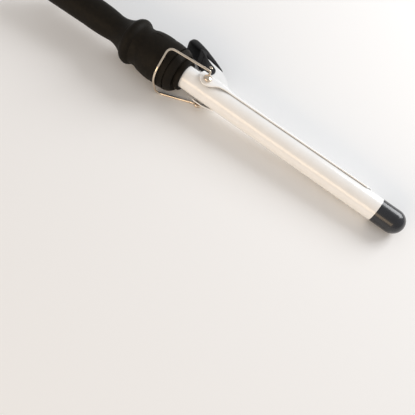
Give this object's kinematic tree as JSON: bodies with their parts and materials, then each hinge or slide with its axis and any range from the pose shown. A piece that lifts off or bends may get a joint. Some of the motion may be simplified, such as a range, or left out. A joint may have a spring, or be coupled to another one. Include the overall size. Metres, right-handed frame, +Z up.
{
  "type": "curling iron",
  "caption": "Hair curling iron: heated round barrel with spring clip and thumb lever, waisted handle, cool tip and a swinging wire stand.",
  "frame": {"origin": "centre of the lying iron's bounding box, on the surface it rests on", "axes": "+X along the barrel towards the cool tip, +Z up, +Y towards the clip and thumb lever"},
  "size_m": [0.3652, 0.0648, 0.0435],
  "materials": {
    "white_ceramic": "glossy white ceramic coating",
    "tip_black": "smooth satin-gloss moulding",
    "handle_black": "soft-touch matte moulding",
    "lever_black": "fine satin moulding",
    "chrome": "bright polished wire and rivet heads",
    "steel": "plain zinc-plated steel",
    "aluminium": "extruded",
    "heater_ceramic": "unglazed alumina",
    "film": "amber polyimide film",
    "switch_black": "satin moulding",
    "inner_plastic": "plain moulding",
    "red_lens": "clear red",
    "lamp_glass": "clear",
    "board": "solder-masked board",
    "lead_sleeve": "woven glass sleeve"
  },
  "bodies": {
    "handle_and_barrel": {"barrel_tube": "white_ceramic", "cool_tip": "tip_black", "heat_spreader_upper": "aluminium", "heat_spreader_lower": "aluminium", "ceramic_heater": "heater_ceramic", "insulating_films": "film", "heater_clamp": "steel", "insulating_ring": "handle_black", "collar_cap": "handle_black", "handle_upper": "handle_black", "handle_lower": "handle_black", "handle_screws": "steel", "pivot_bracket": "steel", "pivot_rivets": "chrome", "spring_pin": "steel", "torsion_spring": "steel", "switch_housing": "inner_plastic", "indicator_lens": "red_lens", "indicator_lamp": "lamp_glass", "potentiometer": "inner_plastic", "circuit_board": "board", "thermal_fuse": "steel", "heater_leads": "lead_sleeve"},
    "clip": {"clip": "white_ceramic", "thumb_lever": "lever_black", "lever_screws": "steel"},
    "stand": {"wire_stand": "chrome"},
    "switch": {"rocker_switch": "switch_black"},
    "dial": {"temperature_dial": "switch_black"},
    "gland": {"cord_gland": "handle_black"}
  },
  "joints": [
    {"name": "clip_hinge", "type": "hinge", "parent": "handle_and_barrel", "child": "clip", "pos_m": [-0.00234, -0.0135, 0.01849], "axis": [0.0436, 0.299, 0.9532], "range_deg": [0, 15], "stiffness_Nm_per_rad": 0.6, "springref_deg": -17.19},
    {"name": "stand_swing", "type": "hinge", "parent": "handle_and_barrel", "child": "stand", "pos_m": [-0.00234, -0.0135, 0.01849], "axis": [0.0436, 0.299, 0.9532], "range_deg": [0, 80]},
    {"name": "switch_rock", "type": "hinge", "parent": "handle_and_barrel", "child": "switch", "pos_m": [-0.13067, -0.00243, 0.02088], "axis": [0.0436, 0.299, 0.9532], "range_deg": [0, 12]},
    {"name": "dial_turn", "type": "hinge", "parent": "handle_and_barrel", "child": "dial", "pos_m": [-0.15319, 0.00062, 0.02096], "axis": [-0.0137, 0.9542, -0.2987], "range_deg": [0, 270]},
    {"name": "gland_swivel", "type": "hinge", "parent": "handle_and_barrel", "child": "gland", "pos_m": [-0.1824, -0.01045, 0.02577], "axis": [-0.999, 0, 0.0457], "continuous": true}
  ]
}
